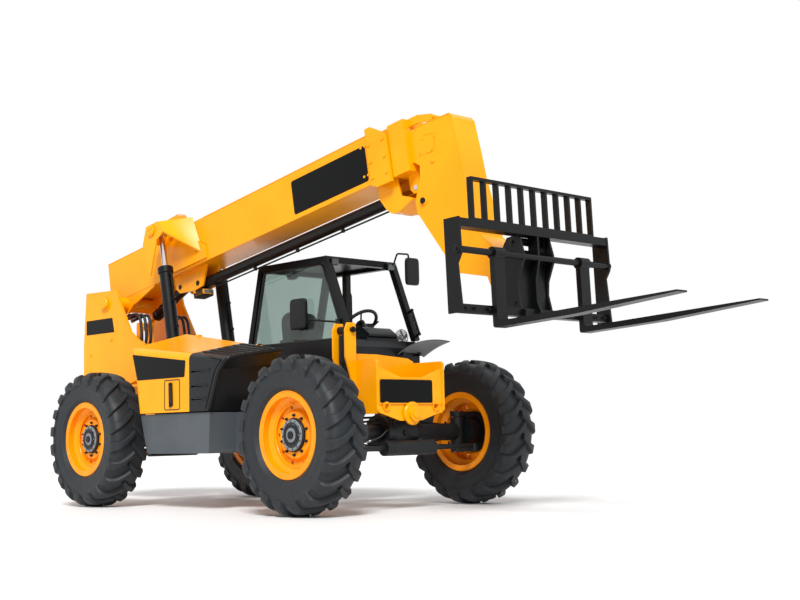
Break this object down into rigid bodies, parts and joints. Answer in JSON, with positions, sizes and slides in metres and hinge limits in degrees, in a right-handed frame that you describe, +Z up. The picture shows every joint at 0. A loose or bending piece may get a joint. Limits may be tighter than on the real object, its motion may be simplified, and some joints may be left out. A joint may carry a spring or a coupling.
{
  "type": "telehandler",
  "caption": "Four-wheel telescopic handler with a three-section boom on rear towers, pallet forks, side engine pod and an open cab.",
  "frame": {"origin": "on the ground under the middle of the machine's whole length, on its centreline", "axes": "+X forward to the fork tips, +Y to the driver's left, +Z up"},
  "size_m": [7.434, 2.31, 3.2147],
  "materials": {
    "frame_paint": "gloss",
    "rim_paint": "gloss",
    "tyre_rubber": "matt",
    "cast_housing": "satin",
    "black_paint": "satin",
    "cylinder_rod": "polished",
    "moulded_plastic": "satin",
    "seat_vinyl": "grained",
    "cab_glass": "tinted"
  },
  "bodies": {
    "root": {"chassis": "frame_paint", "towers": "frame_paint", "sway_cylinder": "black_paint", "axle_front": "cast_housing", "axle_rear": "cast_housing", "skirt": "black_paint", "engine": "cast_housing", "cab_frame": "black_paint", "cab_tub": "moulded_plastic", "cab_window": "cab_glass", "seat": "seat_vinyl", "dash": "moulded_plastic", "front_frame": "frame_paint", "tank": "moulded_plastic", "steps": "black_paint", "mirror_right": "moulded_plastic", "mirror_left": "moulded_plastic", "mudguard": "moulded_plastic", "fan": "black_paint"},
    "hood": {"hood_panel": "frame_paint", "hood_grille": "moulded_plastic"},
    "boom_outer": {"boom_outer": "frame_paint", "extension_barrel": "black_paint"},
    "boom_mid": {"boom_mid": "frame_paint", "extension_rod": "cylinder_rod"},
    "boom_nose": {"boom_nose": "frame_paint"},
    "lift_barrels": {"lift_barrels": "black_paint"},
    "lift_rods": {"lift_rods": "cylinder_rod"},
    "levelling_barrel": {"levelling_barrel": "black_paint"},
    "levelling_rod": {"levelling_rod": "cylinder_rod"},
    "tilt_barrel": {"tilt_barrel": "black_paint"},
    "tilt_rod": {"tilt_rod": "cylinder_rod"},
    "carriage": {"carriage": "black_paint", "backrest": "black_paint"},
    "fork_left": {"fork_left": "black_paint"},
    "fork_right": {"fork_right": "black_paint"},
    "steering_rod_front": {"steering_rod_front": "cylinder_rod"},
    "steering_rod_rear": {"steering_rod_rear": "cylinder_rod"},
    "knuckle_fl": {"knuckle_fl": "cast_housing"},
    "wheel_fl": {"tyre_fl": "tyre_rubber", "rim_fl": "rim_paint", "hub_fl": "cast_housing"},
    "knuckle_fr": {"knuckle_fr": "cast_housing"},
    "wheel_fr": {"tyre_fr": "tyre_rubber", "rim_fr": "rim_paint", "hub_fr": "cast_housing"},
    "knuckle_rl": {"knuckle_rl": "cast_housing"},
    "wheel_rl": {"tyre_rl": "tyre_rubber", "rim_rl": "rim_paint", "hub_rl": "cast_housing"},
    "knuckle_rr": {"knuckle_rr": "cast_housing"},
    "wheel_rr": {"tyre_rr": "tyre_rubber", "rim_rr": "rim_paint", "hub_rr": "cast_housing"}
  },
  "joints": [
    {"name": "boom_lift", "type": "hinge", "parent": "root", "child": "boom_outer", "pos_m": [-3.28099, 0, 2.014], "axis": [0, -1, 0], "range_deg": [-14, 58]},
    {"name": "boom_extend", "type": "slide", "parent": "boom_outer", "child": "boom_mid", "axis": [0.9871, 0, 0.1599], "range_m": [0, 2.5]},
    {"name": "nose_extend", "type": "slide", "parent": "boom_mid", "child": "boom_nose", "axis": [0.9871, 0, 0.1599], "range_m": [0, 2.5]},
    {"name": "carriage_tilt", "type": "hinge", "parent": "boom_nose", "child": "carriage", "pos_m": [1.92058, 0, 1.64083], "axis": [0, -1, 0], "range_deg": [-70, 22]},
    {"name": "fork_left_slide", "type": "slide", "parent": "carriage", "child": "fork_left", "axis": [0, 1, 0], "range_m": [-0.3, 0.24]},
    {"name": "fork_right_slide", "type": "slide", "parent": "carriage", "child": "fork_right", "axis": [0, 1, 0], "range_m": [-0.33, 0.21]},
    {"name": "lift_barrel_swing", "type": "hinge", "parent": "root", "child": "lift_barrels", "pos_m": [-2.05599, 0, 1], "axis": [0, -1, 0], "range_deg": [-5.79, 20.85]},
    {"name": "lift_rod_slide", "type": "slide", "parent": "lift_barrels", "child": "lift_rods", "axis": [-0.1874, 0, 0.9823], "range_m": [-0.2117, 0.8613]},
    {"name": "levelling_barrel_swing", "type": "hinge", "parent": "boom_outer", "child": "levelling_barrel", "pos_m": [-2.40752, 0, 2.12508], "axis": [0, -1, 0], "range_deg": [-6.05, 2.22]},
    {"name": "levelling_rod_slide", "type": "slide", "parent": "levelling_barrel", "child": "levelling_rod", "axis": [-0.9112, 0, -0.4119], "range_m": [-0.0618, 0.2404]},
    {"name": "tilt_barrel_swing", "type": "hinge", "parent": "boom_nose", "child": "tilt_barrel", "pos_m": [1.10017, 0, 2.4906], "axis": [0, -1, 0], "range_deg": [-1.8, 1.25]},
    {"name": "tilt_rod_slide", "type": "slide", "parent": "tilt_barrel", "child": "tilt_rod", "axis": [0.817, 0, -0.5766], "range_m": [-0.0858, 0.2622]},
    {"name": "hood_lift", "type": "hinge", "parent": "root", "child": "hood", "pos_m": [-1.67099, -0.404, 1.56841], "axis": [-0.9879, 0, 0.1553], "range_deg": [0, 55]},
    {"name": "steer_fr", "type": "hinge", "parent": "root", "child": "knuckle_fr", "pos_m": [0.52901, -0.79, 0.63], "axis": [0, 0, 1], "range_deg": [-35, 35]},
    {"name": "spin_fr", "type": "hinge", "parent": "knuckle_fr", "child": "wheel_fr", "pos_m": [0.52901, -0.975, 0.63], "axis": [0, 1, 0], "continuous": true},
    {"name": "steer_fl", "type": "hinge", "parent": "root", "child": "knuckle_fl", "pos_m": [0.52901, 0.79, 0.63], "axis": [0, 0, 1], "range_deg": [-36, 36]},
    {"name": "spin_fl", "type": "hinge", "parent": "knuckle_fl", "child": "wheel_fl", "pos_m": [0.52901, 0.975, 0.63], "axis": [0, 1, 0], "continuous": true},
    {"name": "steering_slide_front", "type": "slide", "parent": "root", "child": "steering_rod_front", "axis": [0, 1, 0], "range_m": [-0.1226, 0.1226]},
    {"name": "steer_rr", "type": "hinge", "parent": "root", "child": "knuckle_rr", "pos_m": [-2.47099, -0.79, 0.63], "axis": [0, 0, 1], "range_deg": [-35, 35]},
    {"name": "spin_rr", "type": "hinge", "parent": "knuckle_rr", "child": "wheel_rr", "pos_m": [-2.47099, -0.975, 0.63], "axis": [0, 1, 0], "continuous": true},
    {"name": "steer_rl", "type": "hinge", "parent": "root", "child": "knuckle_rl", "pos_m": [-2.47099, 0.79, 0.63], "axis": [0, 0, 1], "range_deg": [-36, 36]},
    {"name": "spin_rl", "type": "hinge", "parent": "knuckle_rl", "child": "wheel_rl", "pos_m": [-2.47099, 0.975, 0.63], "axis": [0, 1, 0], "continuous": true},
    {"name": "steering_slide_rear", "type": "slide", "parent": "root", "child": "steering_rod_rear", "axis": [0, 1, 0], "range_m": [-0.1226, 0.1226]}
  ],
  "couplings": [
    {"joint": "nose_extend", "follows": "boom_extend", "ratio": 1},
    {"joint": "lift_barrel_swing", "follows": "boom_lift", "ratio": 0.34226},
    {"joint": "lift_rod_slide", "follows": "boom_lift", "m_per_rad": 0.84587},
    {"joint": "levelling_barrel_swing", "follows": "boom_lift", "ratio": -0.087117},
    {"joint": "levelling_rod_slide", "follows": "boom_lift", "m_per_rad": 0.23253},
    {"joint": "tilt_barrel_swing", "follows": "carriage_tilt", "ratio": 0.011363},
    {"joint": "tilt_rod_slide", "follows": "carriage_tilt", "m_per_rad": -0.21053},
    {"joint": "steer_fl", "follows": "steer_fr", "ratio": 1},
    {"joint": "steering_slide_front", "follows": "steer_fr", "m_per_rad": 0.19249},
    {"joint": "steer_rl", "follows": "steer_rr", "ratio": 1},
    {"joint": "steering_slide_rear", "follows": "steer_rr", "m_per_rad": -0.19249}
  ]
}
